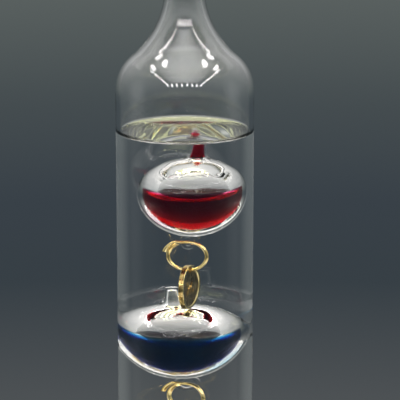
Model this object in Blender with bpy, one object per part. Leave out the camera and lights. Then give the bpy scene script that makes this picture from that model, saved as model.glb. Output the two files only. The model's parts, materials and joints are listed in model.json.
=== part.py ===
"""Galileo thermometer: a sealed glass column of clear oil with five weighted glass floats.

Frame: origin at the centre of the foot's resting face, +Z up the column, -Y to the front.
All sizes below are in millimetres and degrees; the MM factor turns them into metres.
"""
import math

import bmesh
import bpy
from mathutils import Matrix, Vector
from mathutils.geometry import interpolate_bezier

MM = 0.001
GAP = 0.3  # left between pieces that touch

# Column: a blown tube with a bell shoulder, drawn to a neck and sealed at the tip.
TUBE_RADIUS = 21.0
TUBE_WALL = 1.4
FOOT_HEIGHT = 7.0
FOOT_CHAMFER = 1.2
TOTAL_HEIGHT = 330.0
TIP_WALL = 2.4
TUBE_STEPS = 40

# Clear oil: its level, and the room left in it round each float.
OIL_LEVEL = 273.4
OIL_ROOM = 0.5

# Floats: a hollow ball, drawn to a sealed stub on top, with a glass eye below.
BALL_RADIUS = 12.1
BALL_INNER_RADIUS = 11.35
BALL_INNER_RISE = 0.45  # the glass is thicker at the bottom of the ball
STUB_RADIUS = 1.35
STUB_WAIST = 1.75
STUB_FLARE = 2.7
STUB_BORE = 0.9
SEAL_HEIGHT = 1.0
EYE_RADIUS = 1.9
EYE_ROD = 0.6
EYE_DROP = 13.9  # from the ball's centre to the eye's centre
BALL_STEPS = 20

# Weights: a wire ring that closes past itself, and a stamped disc with a hole.
WIRE_RADIUS = 0.44
RING_RADIUS = 4.4
RING_DROP = 14.1  # from the ball's centre to the wire in the eye
RING_START = 124.0
RING_END = 526.0
RING_PARTING = (462.0, 484.0)  # where the wire steps aside, over its own start
RING_STEP_OUT = 0.8
RING_STEP_ASIDE = 0.85
TAG_RADIUS = 6.9
TAG_THICKNESS = 1.0
TAG_RIM = 0.8
TAG_RIM_PROUD = 0.12
TAG_HOLE = 1.0
TAG_HOLE_INSET = 1.5  # from the tag's edge to the hole's centre

# Stack: how far apart the floats ride, and where each group starts.
PITCH = 46.9
TOP_BALL_DEPTH = 18.2  # the top float's centre below the oil level
FOOT_CLEARANCE = 0.7
HANG = RING_DROP + 2 * RING_RADIUS + 2 * TAG_RADIUS - TAG_HOLE_INSET  # centre to the tag's edge
TOP_CENTRE = OIL_LEVEL - TOP_BALL_DEPTH
LOW_CENTRE = FOOT_HEIGHT + FOOT_CLEARANCE + HANG

GLASS = (0.86, 0.9, 0.88)
OIL = (0.93, 0.94, 0.88)
GOLD = (0.83, 0.6, 0.2)

# Each float: colour, centre X, Y, Z, lean to the right and to the back in degrees, stub height
# above the ball, dye level against the ball's centre, and the turns of its eye, ring and tag.
FLOATS = (
    ("red", (0.32, 0.004, 0.012), 1.75, -1.9, TOP_CENTRE, 4.6, 0.0, 7.4, -0.4, 35.0, -16.0, -14.0),
    ("blue", (0.004, 0.016, 0.09), -1.0, 4.8, TOP_CENTRE - PITCH, -5.5, 0.0, 5.2, -0.7, -80.0, -42.0, -50.0),
    ("yellow", (0.62, 0.3, 0.01), 1.2, -3.8, TOP_CENTRE - 2 * PITCH, 3.0, 2.0, 5.0, 0.3, 35.0, 6.0, -8.0),
    ("green", (0.006, 0.11, 0.05), -1.4, 4.2, LOW_CENTRE + PITCH, -3.5, -2.0, 4.6, -0.2, 35.0, -6.0, 12.0),
    ("purple", (0.09, 0.008, 0.16), 1.0, -3.9, LOW_CENTRE, 2.5, 1.5, 4.4, -0.9, 35.0, 4.0, -10.0),
)
FIRST_SUNK = "green"


def clear_scene():
    for item in list(bpy.data.objects):
        bpy.data.objects.remove(item, do_unlink=True)


def make_material(name, colour, roughness, metallic=0.0, transmission=0.0):
    material = bpy.data.materials.new(name)
    material.use_nodes = True
    shader = material.node_tree.nodes["Principled BSDF"]
    shader.inputs["Base Color"].default_value = (*colour, 1.0)
    shader.inputs["Roughness"].default_value = roughness
    shader.inputs["Metallic"].default_value = metallic
    shader.inputs["Transmission Weight"].default_value = transmission
    return material


def add_object(name, mesh, material, parent=None, place=Matrix.Identity(4)):
    piece = bpy.data.objects.new(name, mesh)
    bpy.context.scene.collection.objects.link(piece)
    if material:
        mesh.materials.append(material)
    if parent:
        piece.parent = parent
    piece.matrix_local = place
    return piece


def add_empty(name, x, y, z, turn):
    empty = bpy.data.objects.new(name, None)
    bpy.context.scene.collection.objects.link(empty)
    empty.matrix_local = Matrix.Translation((x * MM, y * MM, z * MM)) @ turn
    return empty


def mark_cutter(piece):
    piece.hide_render = True
    piece.display_type = "WIRE"


def add_boolean(piece, other, operation):
    cut = piece.modifiers.new(other.name, "BOOLEAN")
    cut.operation = operation
    cut.object = other


def finish_mesh(name, shape):
    """Merge, turn the faces outwards, shade smooth and hand over as a mesh."""
    bmesh.ops.remove_doubles(shape, verts=shape.verts, dist=1e-6)
    bmesh.ops.recalc_face_normals(shape, faces=shape.faces)
    mesh = bpy.data.meshes.new(name)
    shape.to_mesh(mesh)
    shape.free()
    mesh.shade_smooth()
    mesh.set_sharp_from_angle(angle=math.radians(40.0))
    return mesh


def turned_mesh(name, profile, steps, closed=False):
    """Spin a profile of (radius, height) points round Z; closed joins its last point to its first."""
    shape = bmesh.new()
    points = [shape.verts.new((radius * MM, 0.0, height * MM)) for radius, height in profile]
    ends = points + points[:1] if closed else points
    edges = [shape.edges.new(pair) for pair in zip(ends, ends[1:])]
    bmesh.ops.spin(shape, geom=points + edges, axis=(0, 0, 1), cent=(0, 0, 0), angle=math.tau, steps=steps)
    return finish_mesh(name, shape)


def arc(radius, start, end, count, centre=(0.0, 0.0)):
    """Points on a circle, from the start angle to the end angle, measured up from straight down."""
    angles = [math.radians(start + (end - start) * i / count) for i in range(count + 1)]
    return [(centre[0] + radius * math.sin(a), centre[1] - radius * math.cos(a)) for a in angles]


def bezier(start, handle_1, handle_2, end, count):
    corners = [Vector((x, y, 0.0)) for x, y in (start, handle_1, handle_2, end)]
    return [(point.x, point.y) for point in interpolate_bezier(*corners, count + 1)]


def inset(profile, distance):
    """Move a profile that runs up the outside of a turned piece inwards by the wall thickness."""
    moved = []
    for i, (x, z) in enumerate(profile):
        before = profile[max(i - 1, 0)]
        after = profile[min(i + 1, len(profile) - 1)]
        along = Vector((after[0] - before[0], after[1] - before[1])).normalized()
        moved.append((x - along.y * distance, z + along.x * distance))
    return moved


def bell_outline():
    """Outer outline from the top of the straight tube, over the shoulder and up the neck."""
    shoulder = bezier((TUBE_RADIUS, 285.5), (TUBE_RADIUS, 292.0), (18.3, 295.0), (15.5, 297.3), 6)
    flare = bezier((15.5, 297.3), (10.85, 301.1), (7.25, 307.4), (6.3, 313.9), 6)
    neck = bezier((6.3, 313.9), (6.0, 317.5), (5.4, 320.5), (5.2, 323.0), 2)
    return shoulder + flare[1:] + neck[1:]


def make_column(glass):
    outline = bell_outline()
    tip = bezier(outline[-1], (5.0, 326.5), (2.8, TOTAL_HEIGHT), (0.0, TOTAL_HEIGHT), 4)
    inner = inset(outline, TUBE_WALL)
    inner_tip = bezier(inner[-1], (3.7, 325.5), (2.2, TOTAL_HEIGHT - TIP_WALL),
                       (0.0, TOTAL_HEIGHT - TIP_WALL), 3)
    bottom = FOOT_HEIGHT + GAP
    outside = [(TUBE_RADIUS, bottom)] + outline + tip[1:]
    inside = [(TUBE_RADIUS - TUBE_WALL, bottom)] + inner + inner_tip[1:]
    add_object("glass_tube", turned_mesh("glass_tube", outside[::-1] + inside, TUBE_STEPS), glass)

    foot = [
        (0.0, 0.0),
        (TUBE_RADIUS - FOOT_CHAMFER, 0.0),
        (TUBE_RADIUS, FOOT_CHAMFER),
        (TUBE_RADIUS, FOOT_HEIGHT),
        (0.0, FOOT_HEIGHT),
    ]
    add_object("tube_foot", turned_mesh("tube_foot", foot, TUBE_STEPS), glass)


def ball_outline(stub_top):
    """Outer outline of a float: the ball from below, a concave flare, and the stub's wall."""
    shoulder_angle = 160.0
    ball = arc(BALL_RADIUS, 0.0, shoulder_angle, 11)
    waist = (STUB_WAIST, BALL_RADIUS + 1.9)
    return ball + [(STUB_FLARE, BALL_RADIUS + 0.5), waist, (STUB_RADIUS, stub_top)]


def make_envelope(name, stub_height, eye_turn, parent, glass):
    stub_top = BALL_RADIUS + stub_height - SEAL_HEIGHT
    bore_foot = BALL_INNER_RISE + BALL_INNER_RADIUS
    outside = ball_outline(stub_top)
    hollow = arc(BALL_INNER_RADIUS, 0.0, 172.0, 10, centre=(0.0, BALL_INNER_RISE))
    inside = hollow + [(STUB_BORE, bore_foot + 1.0), (STUB_BORE, stub_top)]
    envelope = add_object(name + "_envelope", turned_mesh(name, outside + inside[::-1], BALL_STEPS),
                          glass, parent)
    eye_section = arc(EYE_ROD, 0.0, 315.0, 7, centre=(EYE_RADIUS, 0.0))
    eye_mesh = turned_mesh(name + "_eye", eye_section, 14, closed=True)
    upright = Matrix.Rotation(math.radians(90.0), 4, "Y")
    turn = Matrix.Rotation(math.radians(eye_turn), 4, "Z")
    place = Matrix.Translation((0.0, 0.0, -EYE_DROP * MM)) @ turn @ upright
    eye = add_object(name + "_eye", eye_mesh, None, parent, place)
    mark_cutter(eye)
    add_boolean(envelope, eye, "UNION")

    cap = [
        (0.0, stub_top + GAP),
        (STUB_RADIUS, stub_top + GAP),
        (STUB_RADIUS * 0.85, stub_top + SEAL_HEIGHT * 0.75),
        (0.0, stub_top + SEAL_HEIGHT),
    ]
    add_object(name + "_seal", turned_mesh(name + "_seal", cap, 12), glass, parent)


def make_dye(name, level, turn, parent, material):
    """The coloured filling: the lower part of the ball's hollow, cut level whatever the lean."""
    radius = BALL_INNER_RADIUS - GAP
    shape = bmesh.new()
    profile = [(r * MM, z * MM) for r, z in arc(radius, 0.0, 180.0, 12, centre=(0.0, BALL_INNER_RISE))]
    points = [shape.verts.new((r, 0.0, z)) for r, z in profile]
    edges = [shape.edges.new(pair) for pair in zip(points, points[1:])]
    bmesh.ops.spin(shape, geom=points + edges, axis=(0, 0, 1), cent=(0, 0, 0), angle=math.tau,
                   steps=BALL_STEPS)
    bmesh.ops.remove_doubles(shape, verts=shape.verts, dist=1e-6)
    up = turn.inverted().to_3x3() @ Vector((0.0, 0.0, 1.0))
    geometry = list(shape.verts) + list(shape.edges) + list(shape.faces)
    bmesh.ops.bisect_plane(shape, geom=geometry, dist=1e-7, plane_co=up * level * MM, plane_no=up,
                           clear_outer=True)
    rim = [edge for edge in shape.edges if edge.is_boundary]
    bmesh.ops.contextual_create(shape, geom=rim)
    add_object(name + "_dye", finish_mesh(name + "_dye", shape), material, parent)


def ring_path():
    """The ring's wire round its centre: one turn, then a step out and aside over its own start."""
    count = 36
    path = []
    for i in range(count + 1):
        angle = RING_START + (RING_END - RING_START) * i / count
        along = (angle - RING_PARTING[0]) / (RING_PARTING[1] - RING_PARTING[0])
        along = min(max(along, 0.0), 1.0)
        step = along * along * (3.0 - 2.0 * along)
        radius = RING_RADIUS + RING_STEP_OUT * step
        turn = math.radians(angle)
        path.append((radius * math.cos(turn), -RING_STEP_ASIDE * step, radius * math.sin(turn)))
    return path


def make_ring(name, x, y, z, turn, gold):
    """The ring's origin is on the wire inside the eye, which it swings about."""
    curve = bpy.data.curves.new(name + "_ring", "CURVE")
    curve.dimensions = "3D"
    curve.bevel_depth = WIRE_RADIUS * MM
    curve.bevel_resolution = 1
    curve.use_fill_caps = True
    path = ring_path()
    spline = curve.splines.new("POLY")
    spline.points.add(len(path) - 1)
    for point, (px, py, pz) in zip(spline.points, path):
        point.co = (px * MM, py * MM, (pz - RING_RADIUS) * MM, 1.0)
    curve.materials.append(gold)
    ring = bpy.data.objects.new(name + "_ring", curve)
    bpy.context.scene.collection.objects.link(ring)
    ring.location = (x * MM, y * MM, z * MM)
    ring.rotation_euler = (0.0, 0.0, math.radians(turn))
    return ring


def make_tag(name, turn, ring, gold):
    """The tag's origin is at its hole, on the wire at the bottom of the ring that it is turned against."""
    half = TAG_THICKNESS / 2.0
    proud = half + TAG_RIM_PROUD
    face = TAG_RADIUS - TAG_RIM
    disc = [
        (0.0, -half),
        (face - TAG_RIM_PROUD, -half),
        (face, -proud),
        (TAG_RADIUS, -proud),
        (TAG_RADIUS, proud),
        (face, proud),
        (face - TAG_RIM_PROUD, half),
        (0.0, half),
    ]
    mesh = turned_mesh(name + "_tag", disc, 24)
    on_edge = Matrix.Rotation(math.radians(90.0), 4, "Y")
    drop = Matrix.Translation((0.0, 0.0, -(TAG_RADIUS - TAG_HOLE_INSET) * MM))
    mesh.transform(drop @ on_edge)
    yaw = Matrix.Rotation(math.radians(turn), 4, "Z")
    place = Matrix.Translation((0.0, 0.0, -2.0 * RING_RADIUS * MM)) @ yaw
    tag = add_object(name + "_tag", mesh, gold, ring, place)
    bore = [(0.0, -1.0), (TAG_HOLE, -1.0), (TAG_HOLE, 1.0), (0.0, 1.0)]
    cutter = add_object(name + "_tag_hole", turned_mesh(name + "_tag_hole", bore, 12), None, tag, on_edge)
    mark_cutter(cutter)
    add_boolean(tag, cutter, "DIFFERENCE")


def make_room(name, x, y, z, stub_height, channel):
    """The room that a float, its ring and its tag take up in the oil, as a turned cutter."""
    room_radius = BALL_RADIUS + OIL_ROOM
    tag_room = TAG_RADIUS + 2.1
    stub_room = STUB_FLARE + 2.2
    low_angle = math.degrees(math.asin(tag_room / room_radius))
    high_angle = 180.0 - math.degrees(math.asin(stub_room / room_radius))
    top = BALL_RADIUS + stub_height + OIL_ROOM + channel
    profile = [(0.0, -HANG - OIL_ROOM), (tag_room, -HANG - OIL_ROOM)]
    profile += arc(room_radius, low_angle, high_angle, 8)
    profile += [(stub_room, top), (0.0, top)]
    mesh = turned_mesh(name + "_room", profile, BALL_STEPS)
    cutter = add_object(name + "_room", mesh, None, place=Matrix.Translation((x * MM, y * MM, z * MM)))
    mark_cutter(cutter)
    return cutter


def make_oil(oil, rooms):
    """The oil, flush with the tube's wall, with the floats' rooms opening one into the next."""
    side = TUBE_RADIUS - TUBE_WALL - GAP
    bottom = FOOT_HEIGHT + GAP
    profile = [(0.0, bottom), (side, bottom), (side, OIL_LEVEL), (0.0, OIL_LEVEL)]
    body = add_object("clear_oil", turned_mesh("clear_oil", profile, TUBE_STEPS), oil)
    for room in rooms:
        add_boolean(body, room, "DIFFERENCE")


def make_float(row, glass, gold):
    name, colour, x, y, z, lean_right, lean_back, stub_height, level, eye_turn, ring_turn, tag_turn = row
    turn = (Matrix.Rotation(math.radians(lean_right), 4, "Y")
            @ Matrix.Rotation(math.radians(-lean_back), 4, "X"))
    centre = add_empty(name + "_centre", x, y, z, turn)
    make_envelope(name, stub_height, eye_turn, centre, glass)
    dye = make_material(name + "_dye", colour, 0.05, transmission=0.6)
    make_dye(name, level, turn, centre, dye)
    hook = turn @ Vector((0.0, 0.0, -RING_DROP))
    ring = make_ring(name, x + hook.x, y + hook.y, z + hook.z, ring_turn, gold)
    make_tag(name, tag_turn - ring_turn, ring, gold)


def make_thermometer():
    clear_scene()
    glass = make_material("clear_glass", GLASS, 0.03, transmission=0.95)
    oil = make_material("clear_oil", OIL, 0.02, transmission=0.98)
    gold = make_material("gold_plate", GOLD, 0.22, metallic=1.0)
    make_column(glass)
    rooms = []
    for row in FLOATS:
        make_float(row, glass, gold)
        name, _, x, y, z, _, _, stub_height = row[:8]
        channel = TOP_CENTRE - 2 * PITCH - (LOW_CENTRE + 2 * PITCH) if name == FIRST_SUNK else 0.0
        rooms.append(make_room(name, x, y, z, stub_height, channel))
    make_oil(oil, rooms)


make_thermometer()
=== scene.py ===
import json
import math

import bpy
from mathutils import Matrix, Vector
from mathutils.geometry import interpolate_bezier


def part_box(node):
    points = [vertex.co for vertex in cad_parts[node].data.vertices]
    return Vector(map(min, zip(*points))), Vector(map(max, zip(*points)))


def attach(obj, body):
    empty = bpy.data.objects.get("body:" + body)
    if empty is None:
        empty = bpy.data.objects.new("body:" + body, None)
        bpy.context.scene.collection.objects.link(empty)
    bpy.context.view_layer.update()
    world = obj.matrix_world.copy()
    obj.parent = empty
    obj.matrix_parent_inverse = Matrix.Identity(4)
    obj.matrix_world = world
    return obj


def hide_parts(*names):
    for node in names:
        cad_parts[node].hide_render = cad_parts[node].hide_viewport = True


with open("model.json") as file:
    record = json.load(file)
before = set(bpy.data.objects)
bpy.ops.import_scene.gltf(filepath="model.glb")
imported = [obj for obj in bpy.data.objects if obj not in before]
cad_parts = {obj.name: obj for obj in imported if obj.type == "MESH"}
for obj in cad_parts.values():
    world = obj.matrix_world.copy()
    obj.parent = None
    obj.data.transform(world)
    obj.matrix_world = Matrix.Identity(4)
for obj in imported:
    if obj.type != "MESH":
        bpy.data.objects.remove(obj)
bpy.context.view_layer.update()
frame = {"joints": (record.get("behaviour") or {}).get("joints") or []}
MM = 0.001


# --- Glass tube -------------------------------------------------------------------------------------
# A column of clear borosilicate glass, blown over a flame to a bell shoulder and drawn to a neck,
# then sealed at the tip. It is turned here as on a glass lathe, from one outline of its wall.

TUBE_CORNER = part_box("glass_tube")[1]
TUBE_RADIUS = TUBE_CORNER.x
TUBE_TOP = TUBE_CORNER.z
TUBE_WALL = 1.4 * MM
TUBE_BORE = TUBE_RADIUS - TUBE_WALL
TIP_WALL = 2.4 * MM
JOIN = 0.01 * MM  # between pieces of glass that are fused together
FOOT_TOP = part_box("tube_foot")[1].z
OIL_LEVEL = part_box("clear_oil")[1].z
OIL_CREEP = 1.7 * MM  # how far the oil's edge climbs the glass
OIL_EDGE = OIL_LEVEL + OIL_CREEP
TURN_STEPS = 128
CREASE = math.radians(38.0)
GLASS_IOR = 1.5
OIL_IOR = 1.45


def turned(name, outline, steps=TURN_STEPS, turned_in=False):
    """Turn an outline of (radius, height) points round the Z axis into a closed skin."""
    bpy.ops.object.select_all(action="DESELECT")
    bpy.ops.mesh.primitive_plane_add(size=0.01)
    piece = bpy.context.object
    piece.name = name
    bpy.ops.object.mode_set(mode="EDIT")
    bpy.ops.mesh.select_all(action="SELECT")
    bpy.ops.mesh.merge(type="CENTER")
    radius, height = outline[0]
    bpy.ops.transform.translate(value=(radius, 0.0, height))
    for next_radius, next_height in outline[1:]:
        step = (next_radius - radius, 0.0, next_height - height)
        bpy.ops.mesh.extrude_region_move(TRANSFORM_OT_translate={"value": step})
        radius, height = next_radius, next_height
    bpy.ops.mesh.select_all(action="SELECT")
    bpy.ops.mesh.spin(steps=steps, angle=math.tau, center=(0, 0, 0), axis=(0, 0, 1))
    bpy.ops.mesh.select_all(action="SELECT")
    bpy.ops.mesh.remove_doubles(threshold=0.001 * MM)
    bpy.ops.mesh.normals_make_consistent(inside=turned_in)
    bpy.ops.object.mode_set(mode="OBJECT")
    bpy.ops.object.shade_smooth_by_angle(angle=CREASE)
    return piece


def curve(start, handle_1, handle_2, end, count):
    """Points of a smooth bend from the start to the end, both included, in metres."""
    corners = [Vector((x, y, 0.0)) for x, y in (start, handle_1, handle_2, end)]
    return [(point.x, point.y) for point in interpolate_bezier(*corners, count + 1)]


def bezier(start, handle_1, handle_2, end, count):
    """The same bend, given in millimetres."""
    return curve(*[(x * MM, y * MM) for x, y in (start, handle_1, handle_2, end)], count)


def inset(outline, distance):
    """Move an outline that runs up the outside of a turned piece inwards by its wall."""
    moved = []
    for i, (x, z) in enumerate(outline):
        before = outline[max(i - 1, 0)]
        after = outline[min(i + 1, len(outline) - 1)]
        along = Vector((after[0] - before[0], after[1] - before[1])).normalized()
        moved.append((x - along.y * distance, z + along.x * distance))
    return moved


def stretch(start, end, count):
    """Evenly spaced points of a straight run, without its last."""
    return [(start[0] + (end[0] - start[0]) * i / count, start[1] + (end[1] - start[1]) * i / count)
            for i in range(count)]


class Wire:
    """A socket in a material. Sums and products on it add Math nodes, and node() adds any other."""

    def __init__(self, tree, socket=None):
        self.tree = tree
        self.socket = socket

    def node(self, kind, settings=None, inputs=None, output=0):
        new = self.tree.nodes.new("ShaderNode" + kind)
        for setting, value in (settings or {}).items():
            if setting == "stops":
                ramp = new.color_ramp
                for place, colour in value[1:-1]:
                    ramp.elements.new(place)
                for element, (place, colour) in zip(ramp.elements, value):
                    element.position = place
                    element.color = (*colour, 1.0)
            else:
                setattr(new, setting, value)
        for name, value in (inputs or {}).items():
            if isinstance(value, Wire):
                self.tree.links.new(value.socket, new.inputs[name])
            else:
                new.inputs[name].default_value = value
        return Wire(self.tree, new.outputs[output])

    def maths(self, operation, first, second=0.0):
        return self.node("Math", {"operation": operation}, {0: first, 1: second})

    def feed(self, socket):
        self.tree.links.new(self.socket, socket)

    def __add__(self, other):
        return self.maths("ADD", self, other)

    def __sub__(self, other):
        return self.maths("SUBTRACT", self, other)

    def __rsub__(self, other):
        return self.maths("SUBTRACT", other, self)

    def __mul__(self, other):
        return self.maths("MULTIPLY", self, other)

    __radd__ = __add__
    __rmul__ = __mul__


def material(name):
    """A new material, the Wire to build its pattern from, and its Principled shader."""
    new = bpy.data.materials.new(name)
    new.use_nodes = True
    return new, Wire(new.node_tree), new.node_tree.nodes["Principled BSDF"]


def clear_material(name, ior, swallows=None):
    """Clear glass or liquid, seen across a wall whose two sides differ by this refractive index.

    An index of 1 makes a wall that can't be seen. What a liquid swallows is given for red, green and
    blue, in a metre of it.
    """
    new, wire, shader = material(name)
    shader.inputs["Base Color"].default_value = (1.0, 1.0, 1.0, 1.0)
    shader.inputs["Roughness"].default_value = 0.0
    shader.inputs["IOR"].default_value = ior
    shader.inputs["Transmission Weight"].default_value = 1.0
    if ior == 1.0:
        shader.inputs["Alpha"].default_value = 0.0
    if swallows:
        strength = max(swallows)
        left = [1.0 - share / strength for share in swallows]
        absorb = wire.node("VolumeAbsorption", inputs={"Color": (*left, 1.0), "Density": strength})
        absorb.feed(wire.tree.nodes["Material Output"].inputs["Volume"])
    return new


def rippled_glass(name, squash, line_scale, line_share, wave_scale, strength, depth):
    """Glass against air, whose skin keeps fine lines and slow waves from the work in the flame.

    The lines are squashed along each axis by the factors given, so that they run along or round the
    piece. The depth of the ripple is in metres.
    """
    new = clear_material(name, GLASS_IOR)
    wire = Wire(new.node_tree)
    spot = wire.node("TexCoord", output=3)
    squashed = wire.node("Mapping", inputs={"Vector": spot, "Scale": squash})
    lines = wire.node("TexNoise", inputs={"Vector": squashed, "Scale": line_scale, "Detail": 1.0})
    waves = wire.node("TexNoise", inputs={"Vector": spot, "Scale": wave_scale, "Detail": 1.0})
    bump_inputs = {"Height": lines * line_share + waves, "Strength": strength, "Distance": depth}
    wire.node("Bump", inputs=bump_inputs).feed(new.node_tree.nodes["Principled BSDF"].inputs["Normal"])
    return new


def paint(piece, index, wanted):
    """Give the faces that wanted(centre, normal) picks the piece's material of that index."""
    for face in piece.data.polygons:
        if wanted(face.center, face.normal):
            face.material_index = index


# the outline of the blown bell, its drawn neck and the rounded tip, in millimetres from the axis and
# from the foot's underside
bell = bezier((21.0, 285.5), (21.0, 292.0), (18.3, 295.0), (15.5, 297.3), 20)
bell += bezier((15.5, 297.3), (10.85, 301.1), (7.25, 307.4), (6.3, 313.9), 24)[1:]
bell += bezier((6.3, 313.9), (6.0, 317.5), (5.4, 320.5), (5.2, 323.0), 8)[1:]
bore = inset(bell, TUBE_WALL)
tip = bezier((5.2, 323.0), (5.0, 326.5), (2.8, TUBE_TOP / MM), (0.0, TUBE_TOP / MM), 14)
bore_end = (TUBE_TOP - TIP_WALL) / MM
tip_bore = bezier((bore[-1][0] / MM, bore[-1][1] / MM), (3.7, 325.5), (2.2, bore_end), (0.0, bore_end), 10)
tube_end = FOOT_TOP + JOIN
outside = stretch((TUBE_RADIUS, tube_end), bell[0], 24) + bell + tip[1:]
inside = stretch((TUBE_BORE, tube_end), (TUBE_BORE, OIL_EDGE), 22)
inside += stretch((TUBE_BORE, OIL_EDGE), bore[0], 4) + bore + tip_bore[1:]
tube = turned("tube_wall", outside[::-1] + inside)

drawn_glass = rippled_glass("drawn_glass", squash=(1.0, 1.0, 0.03), line_scale=500.0, line_share=0.12,
                            wave_scale=70.0, strength=0.5, depth=0.02 * MM)
glass_to_oil = clear_material("glass_to_oil", GLASS_IOR / OIL_IOR)
tube.data.materials.append(drawn_glass)
tube.data.materials.append(glass_to_oil)
paint(tube, 1, lambda centre, normal: math.hypot(centre.x, centre.y) < TUBE_BORE + TUBE_WALL / 4
      and centre.z < OIL_EDGE)
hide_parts("glass_tube")
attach(tube, "column")


# --- Foot -------------------------------------------------------------------------------------------
# A thick disc of the same glass that closes the column and keeps it upright. It is fused to the tube.

FOOT_ROUND = 1.6 * MM  # the fire-polished lower edge
foot_outline = [(0.0, 0.0), (TUBE_RADIUS - FOOT_ROUND, 0.0)]
for degrees in range(15, 91, 15):
    angle = math.radians(degrees)
    foot_outline.append((TUBE_RADIUS - FOOT_ROUND + FOOT_ROUND * math.sin(angle),
                         FOOT_ROUND - FOOT_ROUND * math.cos(angle)))
foot_outline += [(TUBE_RADIUS, FOOT_TOP), (TUBE_BORE, FOOT_TOP), (0.0, FOOT_TOP)]
foot = turned("foot_disc", foot_outline)
foot.data.materials.append(clear_material("glass_to_air", GLASS_IOR))
foot.data.materials.append(glass_to_oil)
paint(foot, 1, lambda centre, normal: normal.z > 0.9)
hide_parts("tube_foot")
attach(foot, "column")


# --- Oil --------------------------------------------------------------------------------------------
# Clear thin oil poured in through the neck before it was sealed. Its edge climbs the glass a little.

OIL_SWALLOWS = (0.25, 0.22, 0.6)  # of red, green and blue, in a metre
OIL_RADIUS = TUBE_BORE - JOIN
OIL_BOTTOM = FOOT_TOP + JOIN
oil_surface = curve((OIL_RADIUS, OIL_EDGE), (OIL_RADIUS - 0.2 * MM, OIL_LEVEL + 0.5 * MM),
                    (OIL_RADIUS - 1.8 * MM, OIL_LEVEL), (OIL_RADIUS - 5.0 * MM, OIL_LEVEL), 24)
oil_outline = [(0.0, OIL_BOTTOM)] + stretch((OIL_RADIUS, OIL_BOTTOM), oil_surface[0], 22)
oil_outline += oil_surface + [(6.0 * MM, OIL_LEVEL), (0.0, OIL_LEVEL)]
oil = turned("oil_fill", oil_outline)
oil.data.materials.append(clear_material("oil_to_air", OIL_IOR, OIL_SWALLOWS))
oil.data.materials.append(clear_material("oil_to_glass", 1.0, OIL_SWALLOWS))
paint(oil, 1, lambda centre, normal: math.hypot(centre.x, centre.y) > OIL_RADIUS * 0.99
      and centre.z < OIL_EDGE - 2 * OIL_CREEP or normal.z < -0.9)
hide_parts("clear_oil")
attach(oil, "column")


# --- Floats -----------------------------------------------------------------------------------------
# Blown glass balls with a drawn stub on top and a glass eye fused on below. Each is part filled with
# dyed liquid through the stub, which is then sealed in the flame.

JOINTS = {joint["name"]: joint for joint in frame["joints"]}
BALL_STEPS = 96
BALL_RADIUS = 12.1 * MM
BALL_SHOULDER = 160.0  # degrees from its lowest point to where the stub starts
BALL_BORE = 11.35 * MM
BORE_SHOULDER = 166.0  # the same, for its hollow
BORE_RISE = 0.45 * MM  # the glass is thicker below
BORE_SPREAD = 1.033  # and thinnest at the sides
STUB_WAIST = 1.75 * MM
STUB_WAIST_RISE = 2.0 * MM
STUB_RADIUS = 1.35 * MM
STUB_WALL = 0.3 * MM
SEAL_HALF = 0.35 * MM  # from the middle of the melted cap to its top
EYE_RADIUS = 1.9 * MM
EYE_ROD = 0.6 * MM
EYE_DROP = 13.9 * MM
EYE_TURNS = {"red": 35.0, "blue": -80.0, "yellow": 35.0, "green": 35.0, "purple": 35.0}
RING_DROP = 14.1 * MM  # from a ball's centre to where its ring hangs
DYE_IOR = 1.36
DYE_GAP = 0.02 * MM
DYE_AT_WALL = 0.993  # a face farther out than this share of the dye's radius touches the glass
PLUGGED = ("red",)  # a drop of the dye stays in this one's stub
PLUG_START = BALL_RADIUS + 0.1 * MM
CLOUDED = 0.08  # the share of the light that a dye's cloudiness stops at the glass
# each dye's level against the ball's centre and how far its edge climbs, in millimetres, how much
# red, green and blue it swallows in a metre, and the colour of its faint cloudiness
DYES = {
    "red": (-0.4, 3.2, (85.0, 2600.0, 1500.0), (0.2, 0.02, 0.1)),
    "blue": (-0.7, 3.6, (3800.0, 1300.0, 400.0), (0.02, 0.16, 0.42)),
    "yellow": (0.3, 3.0, (14.0, 60.0, 700.0), (0.7, 0.4, 0.04)),
    "green": (-0.2, 3.0, (1500.0, 260.0, 420.0), (0.02, 0.3, 0.12)),
    "purple": (-0.9, 3.0, (420.0, 2400.0, 260.0), (0.2, 0.04, 0.4)),
}
glass_to_dye = clear_material("glass_to_dye", GLASS_IOR / DYE_IOR)
blown_glass = rippled_glass("blown_glass", squash=(0.3, 0.3, 1.0), line_scale=800.0, line_share=0.25,
                            wave_scale=170.0, strength=0.8, depth=0.35 * MM)


def arc(radius, start, end, count, rise=0.0):
    """Points on a circle about the axis, from the start angle to the end, counted up from below."""
    angles = [math.radians(start + (end - start) * i / count) for i in range(count + 1)]
    return [(abs(radius * math.sin(a)), rise - radius * math.cos(a)) for a in angles]


def apply_place(piece, place):
    """Move and turn a piece by this matrix, and keep the move in its mesh."""
    piece.matrix_world = place
    bpy.ops.object.select_all(action="DESELECT")
    piece.select_set(True)
    bpy.context.view_layer.objects.active = piece
    bpy.ops.object.transform_apply(location=True, rotation=True, scale=True)


def cut(piece, other, operation):
    """Add or take away another piece, which is used up."""
    bpy.context.view_layer.objects.active = piece
    boolean = piece.modifiers.new("cut", "BOOLEAN")
    boolean.operation = operation
    boolean.object = other
    bpy.ops.object.modifier_apply(modifier="cut")
    bpy.data.objects.remove(other)


def join(piece, other):
    """Make another piece part of this one, which keeps its name."""
    bpy.ops.object.select_all(action="DESELECT")
    piece.select_set(True)
    other.select_set(True)
    bpy.context.view_layer.objects.active = piece
    bpy.ops.object.join()


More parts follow.
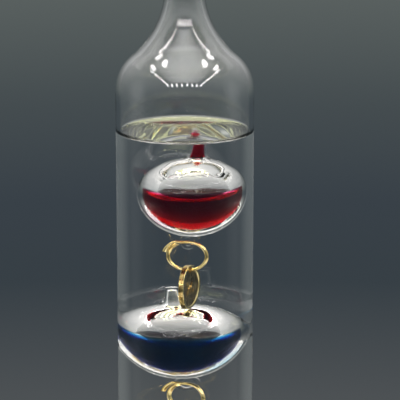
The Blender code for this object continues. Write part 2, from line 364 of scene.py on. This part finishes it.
def score(piece, height):
    """Cut a level line of edges round a piece at this height."""
    bpy.ops.object.select_all(action="DESELECT")
    bpy.context.view_layer.objects.active = piece
    bpy.ops.object.mode_set(mode="EDIT")
    bpy.ops.mesh.select_all(action="SELECT")
    bpy.ops.mesh.bisect(plane_co=(0, 0, height), plane_no=(0, 0, 1))
    bpy.ops.object.mode_set(mode="OBJECT")


def bore_arc(radius, end, count, rise=0.0):
    """A ball's bore from its lowest point up to an angle, a little wider than it is tall."""
    return [(r * BORE_SPREAD, z) for r, z in arc(radius, 0.0, end, count, rise)]


def stub_bore(stub_top):
    """The hollow of a stub, from where it leaves the ball's to its sealed end."""
    base = BALL_BORE + BORE_RISE
    start = bore_arc(BALL_BORE, BORE_SHOULDER, 1, BORE_RISE)[-1]
    waist = (STUB_WAIST - STUB_WALL, base + 2.4 * MM)
    end = STUB_RADIUS - STUB_WALL
    roof = stub_top - 0.6 * MM
    line = curve(start, (1.9 * MM, base + 0.1 * MM), (1.6 * MM, base + 0.9 * MM), waist, 12)
    line += stretch(waist, (end, roof - 0.6 * MM), 6)[1:]
    return line + curve((end, roof - 0.6 * MM), (end, roof - 0.2 * MM), (end / 2, roof), (0.0, roof), 6)


def make_ball(colour):
    """Blow a ball with its stub and eye, and return where its dye goes."""
    hook = Vector(JOINTS[colour + "_ring_swing"]["pos_m"])
    seal_low, seal_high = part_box(colour + "_seal")
    seal = (seal_low + seal_high) / 2
    up = (seal - hook).normalized()
    centre = hook + up * RING_DROP
    stub_top = (seal - centre).length + SEAL_HALF
    lean = Vector((0, 0, 1)).rotation_difference(up).to_matrix().to_4x4()
    place = Matrix.Translation(centre) @ lean

    outline = arc(BALL_RADIUS, 0.0, BALL_SHOULDER, 44)
    waist = (STUB_WAIST, BALL_RADIUS + STUB_WAIST_RISE)
    outline += curve(outline[-1], (2.6 * MM, BALL_RADIUS - 0.2 * MM), (2.0 * MM, BALL_RADIUS + 0.9 * MM),
                     waist, 12)[1:]
    outline += stretch(waist, (STUB_RADIUS, stub_top - 0.25 * MM), 4)[1:]
    outline += curve((STUB_RADIUS, stub_top - 0.25 * MM), (STUB_RADIUS, stub_top - 0.08 * MM),
                     (1.2 * MM, stub_top), (1.0 * MM, stub_top), 4)
    outline += [(0.0, stub_top)]
    ball = turned(colour + "_ball", outline, BALL_STEPS)
    eye_turn = (0, math.radians(90.0), math.radians(EYE_TURNS[colour]))
    bpy.ops.object.select_all(action="DESELECT")
    bpy.ops.mesh.primitive_torus_add(major_radius=EYE_RADIUS, minor_radius=EYE_ROD, major_segments=48,
                                     minor_segments=20, location=(0, 0, -EYE_DROP), rotation=eye_turn)
    cut(ball, bpy.context.object, "UNION")

    hollow = bore_arc(BALL_BORE, BORE_SHOULDER, 44, BORE_RISE) + stub_bore(stub_top)[1:]
    bore_wall = turned(colour + "_bore", hollow, BALL_STEPS, turned_in=True)
    for wall in (ball, bore_wall):
        wall.data.materials.clear()
        wall.data.materials.append(glass_to_oil)
        wall.data.materials.append(blown_glass)
        wall.data.materials.append(glass_to_dye)
        apply_place(wall, place)
    level, creep = DYES[colour][:2]
    bore_centre = centre + up * BORE_RISE
    dye_edge = centre.z + (level + creep) * MM
    plug_height = centre.z + PLUG_START if colour in PLUGGED else math.inf
    score(bore_wall, dye_edge)
    paint(bore_wall, 1, lambda middle, normal: True)
    paint(bore_wall, 2, lambda middle, normal: middle.z < dye_edge or middle.z > plug_height)
    paint(ball, 1, lambda middle, normal: middle.z > OIL_LEVEL)
    join(ball, bore_wall)
    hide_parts(colour + "_envelope", colour + "_seal")
    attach(ball, colour + "_float")
    return centre, bore_centre, place, stub_top


def clouded_dye(name, swallows, cloudiness):
    """Where dye meets glass: a wall that shows only the dye's faint cloudiness."""
    new = clear_material(name, 1.0, swallows)
    shader = new.node_tree.nodes["Principled BSDF"]
    shader.inputs["Base Color"].default_value = (*cloudiness, 1.0)
    shader.inputs["Transmission Weight"].default_value = 0.0
    shader.inputs["Specular IOR Level"].default_value = 0.0
    shader.inputs["Alpha"].default_value = CLOUDED
    return new


def make_dye(colour, centre, bore_centre, place, stub_top):
    """Fill a ball with dye up to its level, with an edge that climbs the glass."""
    level, creep, swallows, cloudiness = DYES[colour]
    radius = BALL_BORE - DYE_GAP
    flat = centre.z + level * MM - bore_centre.z
    edge = flat + creep * MM
    edge_angle = math.degrees(math.acos(-edge / radius))
    outline = bore_arc(radius, edge_angle, 40)
    edge_radius = outline[-1][0]
    outline += curve((edge_radius, edge), (edge_radius - 0.25 * MM, flat + 0.9 * MM),
                     (edge_radius - 2.2 * MM, flat), (edge_radius - 6.0 * MM, flat), 24)[1:]
    outline += [(outline[-1][0] / 2, flat), (0.0, flat)]
    dye = turned(colour + "_liquid", outline, BALL_STEPS)
    apply_place(dye, Matrix.Translation(bore_centre))
    dye.data.materials.append(clear_material(colour + "_dye_to_air", DYE_IOR, swallows))
    dye.data.materials.append(clouded_dye(colour + "_dye_to_glass", swallows, cloudiness))
    squeeze = Vector((1 / BORE_SPREAD, 1 / BORE_SPREAD, 1))
    paint(dye, 1, lambda middle, normal: ((middle - bore_centre) * squeeze).length > radius * DYE_AT_WALL
          and (middle - bore_centre).normalized().dot(normal) > 0.9)
    if colour in PLUGGED:
        side = [(r - DYE_GAP, z) for r, z in stub_bore(stub_top) if z > PLUG_START and r > STUB_WALL]
        low, high = side[0][0], side[-1][0]
        drop = curve((0.0, PLUG_START + 0.35 * MM), (low / 2, PLUG_START + 0.35 * MM),
                     (low * 0.8, PLUG_START + 0.1 * MM), side[0], 6)
        drop += side[1:] + [(high / 2, side[-1][1] + 0.1 * MM), (0.0, side[-1][1] + 0.15 * MM)]
        plug = turned(colour + "_plug", drop, BALL_STEPS)
        apply_place(plug, place)
        for slot in dye.data.materials:
            plug.data.materials.append(slot)
        paint(plug, 1, lambda middle, normal: middle.z > centre.z + PLUG_START + 0.4 * MM)
        join(dye, plug)
    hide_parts(colour + "_dye")
    colour + "_dye"
    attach(dye, colour + "_float")


for colour in DYES:
    make_dye(colour, *make_ball(colour))


# --- Rings ------------------------------------------------------------------------------------------
# Split rings of gold-plated brass wire, wound a little past one turn so that the ends lie side by
# side. Each is threaded through its float's glass eye.

WIRE_RADIUS = 0.44 * MM
RING_RADIUS = 4.4 * MM
RING_START = 124.0  # degrees round the ring, from its side, at which the wire starts and ends
RING_END = 526.0
RING_PARTING = (462.0, 484.0)  # where the wire steps out beside its first turn
RING_STEP_OUT = 0.8 * MM
RING_STEP_ASIDE = 0.85 * MM
RING_POINTS = 120


def gold_plate(name, grain, dull, shine):
    """Plated brass, whose drawn or rolled grain runs along the piece and carries a little tarnish."""
    new, wire, shader = material(name)
    shader.inputs["Metallic"].default_value = 1.0
    place_on_it = wire.node("TexCoord", output=3)
    along = wire.node("Mapping", inputs={"Vector": place_on_it, "Scale": grain})
    streaks = wire.node("TexNoise", inputs={"Vector": along, "Scale": 1000.0, "Detail": 3.0})
    clouds = wire.node("TexNoise", inputs={"Vector": place_on_it, "Scale": 350.0, "Detail": 2.0})
    wear = streaks * 0.6 + clouds * 0.4
    tone = wire.node("ValToRGB", {"stops": ((0.3, dull), (0.6, shine))}, {"Fac": wear})
    tone.feed(shader.inputs["Base Color"])
    (clouds * 0.25 + 0.06).feed(shader.inputs["Roughness"])
    bump = wire.node("Bump", inputs={"Height": streaks, "Strength": 0.2, "Distance": 0.02 * MM})
    bump.feed(shader.inputs["Normal"])
    return new


ring_gold = gold_plate("ring_gold", grain=(0.6, 0.6, 0.6), dull=(0.72, 0.5, 0.14),
                       shine=(0.96, 0.8, 0.38))


def make_ring(colour):
    """Wind a split ring that hangs from its hook, with the axis of its swing in its own plane."""
    swing = JOINTS[colour + "_ring_swing"]
    hook = Vector(swing["pos_m"])
    yaw = math.atan2(swing["axis"][1], swing["axis"][0])
    bpy.ops.object.select_all(action="DESELECT")
    bpy.ops.curve.primitive_nurbs_path_add()
    ring = bpy.context.object
    ring.name = colour + "_wire_ring"
    winding = ring.data
    winding.splines.clear()
    winding.dimensions = "3D"
    winding.bevel_depth = WIRE_RADIUS
    winding.bevel_resolution = 6
    winding.use_fill_caps = True
    path = winding.splines.new("POLY")
    path.points.add(RING_POINTS)
    for i, point in enumerate(path.points):
        angle = RING_START + (RING_END - RING_START) * i / RING_POINTS
        along = min(max((angle - RING_PARTING[0]) / (RING_PARTING[1] - RING_PARTING[0]), 0.0), 1.0)
        step = along * along * (3.0 - 2.0 * along)
        radius = RING_RADIUS + RING_STEP_OUT * step
        turn = math.radians(angle)
        place = (radius * math.cos(turn), -RING_STEP_ASIDE * step, radius * math.sin(turn) - RING_RADIUS)
        point.co = (*place, 1.0)
    bpy.ops.object.convert(target="MESH")
    bpy.ops.object.shade_smooth_by_angle(angle=math.radians(50.0))
    apply_place(ring, Matrix.Translation(hook) @ Matrix.Rotation(yaw, 4, "Z"))
    ring.data.materials.clear()
    ring.data.materials.append(ring_gold)
    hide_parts(colour + "_ring")
    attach(ring, colour + "_ring")


for colour in DYES:
    make_ring(colour)


# --- Tags -------------------------------------------------------------------------------------------
# Discs of gold-plated brass, stamped with a rim and with the temperature that the float shows, and
# hung on the ring by a drilled hole.

TAG_STEPS = 96
TAG_RADIUS = 6.9 * MM
TAG_THICKNESS = 1.0 * MM
TAG_RIM = 0.8 * MM
TAG_RIM_SLOPE = 0.15 * MM
TAG_RIM_PROUD = 0.12 * MM
TAG_ROUND = 0.1 * MM
TAG_RELIEF = 0.05 * MM  # what stands higher than this over the field is polished
TAG_HOLE = 1.0 * MM
TAG_HOLE_INSET = 1.5 * MM
DIGIT_SIZE = 5.6 * MM
DIGIT_HALF = 0.2 * MM  # half of a digit's own thickness, of which a quarter stands proud
DIGIT_DROP = 0.6 * MM
TEMPERATURES = {"red": "26", "blue": "24", "yellow": "22", "green": "20", "purple": "18"}
tag_gold = gold_plate("tag_gold", grain=(2.0, 2.0, 0.12), dull=(0.36, 0.23, 0.07),
                      shine=(0.72, 0.54, 0.22))
tag_polish = gold_plate("tag_polish", grain=(0.6, 0.6, 0.6), dull=(0.8, 0.6, 0.2),
                        shine=(1.0, 0.86, 0.46))


def stamp(text, side):
    """A number that stands proud of one side of a tag, upright as it hangs."""
    bpy.ops.object.select_all(action="DESELECT")
    bpy.ops.object.text_add()
    digits = bpy.context.object
    digits.data.body = text
    digits.data.size = DIGIT_SIZE
    digits.data.align_x = "CENTER"
    digits.data.align_y = "CENTER"
    digits.data.extrude = DIGIT_HALF
    digits.data.resolution_u = 6
    bpy.ops.object.convert(target="MESH")
    upright = Matrix.Rotation(math.radians(90.0), 4, "Z")
    facing = Matrix.Rotation(math.radians(90.0 - 90.0 * side), 4, "X")
    lifted = Matrix.Translation((DIGIT_DROP, 0, side * (TAG_THICKNESS - DIGIT_HALF) / 2))
    apply_place(digits, lifted @ facing @ upright)
    return digits


def make_tag(colour):
    """Stamp a tag lying flat, with its hole towards -X, then hang it on edge from its hole."""
    swing = JOINTS[colour + "_tag_swing"]
    hole = Vector(swing["pos_m"])
    yaw = math.atan2(swing["axis"][1], swing["axis"][0])
    place = Matrix.Translation(hole) @ Matrix.Rotation(yaw, 4, "Z")
    drop = Matrix.Translation((0, 0, TAG_HOLE_INSET - TAG_RADIUS))
    on_edge = Matrix.Rotation(math.radians(90.0), 4, "Y")

    half = TAG_THICKNESS / 2
    proud = half + TAG_RIM_PROUD
    field = TAG_RADIUS - TAG_RIM
    rim = [(0.0, half), (field - TAG_RIM_SLOPE, half), (field, proud), (TAG_RADIUS - TAG_ROUND, proud),
           (TAG_RADIUS, proud - TAG_ROUND)]
    tag = turned(colour + "_disc", [(r, -z) for r, z in rim] + rim[::-1], TAG_STEPS)
    bpy.ops.object.select_all(action="DESELECT")
    bpy.ops.mesh.primitive_cylinder_add(vertices=40, radius=TAG_HOLE, depth=4 * TAG_THICKNESS,
                                        location=(TAG_HOLE_INSET - TAG_RADIUS, 0, 0))
    cut(tag, bpy.context.object, "DIFFERENCE")
    for side in (1, -1):
        cut(tag, stamp(TEMPERATURES[colour], side), "UNION")
    raised = [abs(face.center.z) > half + TAG_RELIEF for face in tag.data.polygons]
    apply_place(tag, place @ drop @ on_edge)
    bpy.ops.object.shade_smooth_by_angle(angle=math.radians(30.0))
    tag.data.materials.clear()
    tag.data.materials.append(tag_gold)
    tag.data.materials.append(tag_polish)
    tag.data.polygons.foreach_set("material_index", raised)
    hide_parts(colour + "_tag")
    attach(tag, colour + "_tag")


for colour in DYES:
    make_tag(colour)


# --- Studio -----------------------------------------------------------------------------------------
# A pale round table top, a soft lamp over the column with a loop of bright strips round it, and a
# dark slate room with a window at each side.

TABLE_RADIUS = 0.42
TABLE_DROP = 0.2 * MM  # keeps the table top clear of the foot's underside
bpy.ops.object.select_all(action="DESELECT")
bpy.ops.mesh.primitive_circle_add(vertices=96, radius=TABLE_RADIUS, fill_type="NGON",
                                  location=(0, 0, -TABLE_DROP))
table = bpy.context.object
table.name = "table_top"
pale, _, shader = material("pale_table")
shader.inputs["Base Color"].default_value = (0.5, 0.5, 0.49, 1.0)
shader.inputs["Roughness"].default_value = 0.6
table.data.materials.append(pale)

MIDDLE = (0, 0, 0.28)
LAMPS = (
    # name, place, aim, width, height, watts, colour, number of diodes along its width, or along its
    # height if the number is negative
    ("ceiling", (0.0, -0.4, 1.42), (0, -0.4, 0), 1.5, 1.7, 14.0, (1.0, 0.99, 0.97), 0),
    ("front_strip", (0.0, -1.45, 1.3), MIDDLE, 2.0, 0.24, 12.0, (1.0, 0.96, 0.97), 8),
    ("back_strip", (0.0, 0.2, 1.4), MIDDLE, 1.8, 0.3, 12.0, (1.0, 0.96, 0.97), 6),
    ("left_strip", (-0.9, -0.62, 1.4), (-0.9, -0.62, 0), 0.12, 1.64, 9.0, (1.0, 0.96, 0.97), -20),
    ("right_strip", (0.9, -0.62, 1.4), (0.9, -0.62, 0), 0.12, 1.64, 9.0, (1.0, 0.96, 0.97), -20),
)
DIODE_REACH = 0.16  # half of a diode's share of its stretch of the strip
DIODE_GLOW = 3.0
SOFT_GLOW = 6.0


def hang_lamp(name, place, aim, width, height, watts, colour, diodes):
    """A flat lamp that fades out towards its sides, or a strip of diodes if their number is given."""
    lamp = bpy.data.lights.new(name, "AREA")
    lamp.shape = "RECTANGLE"
    lamp.size = width
    lamp.size_y = height
    lamp.energy = watts
    lamp.color = colour
    lamp.use_nodes = True
    glow = Wire(lamp.node_tree)
    spot = glow.node("NewGeometry", output="Parametric")
    if diodes:
        along = glow.node("SeparateXYZ", inputs={"Vector": spot}, output=0 if diodes > 0 else 1)
        beat = glow.maths("FRACT", along * abs(diodes))
        level = glow.maths("LESS_THAN", glow.maths("ABSOLUTE", beat - 0.5), DIODE_REACH) * DIODE_GLOW
    else:
        across = glow.node("SeparateXYZ", inputs={"Vector": spot}, output=0)
        level = across * (1.0 - across) * SOFT_GLOW
    level.feed(lamp.node_tree.nodes["Emission"].inputs["Strength"])
    stand = bpy.data.objects.new(name, lamp)
    bpy.context.scene.collection.objects.link(stand)
    stand.location = place
    stand.rotation_euler = (Vector(aim) - Vector(place)).to_track_quat("-Z", "Y").to_euler()
    stand.visible_camera = False


for lamp in LAMPS:
    hang_lamp(*lamp)

world = bpy.data.worlds.new("slate_room")
bpy.context.scene.world = world
world.use_nodes = True
sky = Wire(world.node_tree)
direction = sky.node("TexCoord", output=0)
height = sky.node("SeparateXYZ", inputs={"Vector": direction}, output=2)
room = sky.node("ValToRGB", {"stops": (
    (0.0, (0.34, 0.35, 0.34)),
    (0.27, (0.3, 0.31, 0.3)),
    (0.325, (0.082, 0.09, 0.095)),
    (0.36, (0.038, 0.05, 0.06)),
    (0.38, (0.041, 0.053, 0.065)),
    (0.404, (0.06, 0.074, 0.08)),
    (0.43, (0.1, 0.117, 0.115)),
    (0.5, (0.17, 0.18, 0.18)),
    (0.6, (0.36, 0.37, 0.37)),
    (0.8, (0.7, 0.7, 0.69)),
    (1.0, (1.1, 1.08, 1.05)),
)}, {"Fac": height * 0.5 + 0.5})
aside = sky.node("SeparateXYZ", inputs={"Vector": direction}, output=0)
window = sky.node("ValToRGB", {"stops": (
    (0.0, (0.0, 0.0, 0.0)),
    (0.6, (0.0, 0.0, 0.0)),
    (0.92, (0.12, 0.13, 0.125)),
    (0.98, (0.4, 0.41, 0.4)),
    (1.0, (0.6, 0.61, 0.6)),
)}, {"Fac": sky.maths("ABSOLUTE", aside)})
add = {"data_type": "RGBA", "blend_type": "ADD"}
lit = sky.node("Mix", add, {"Factor": 1.0, 6: room, 7: window}, output=2)
lit.feed(world.node_tree.nodes["Background"].inputs["Color"])

camera_data = bpy.data.cameras.new("camera")
camera_data.lens = 175.6
camera_data.sensor_width = 36.0
camera = bpy.data.objects.new("camera", camera_data)
bpy.context.scene.collection.objects.link(camera)
camera.location = (0.0046, -0.5796, 0.3968)
camera.rotation_euler = (math.radians(76.0), 0.0, 0.0)
bpy.context.scene.camera = camera

scene = bpy.context.scene
scene.view_settings.view_transform = "Standard"
scene.cycles.max_bounces = 40
scene.cycles.transmission_bounces = 40
scene.cycles.glossy_bounces = 16
scene.cycles.diffuse_bounces = 4
scene.cycles.transparent_max_bounces = 40
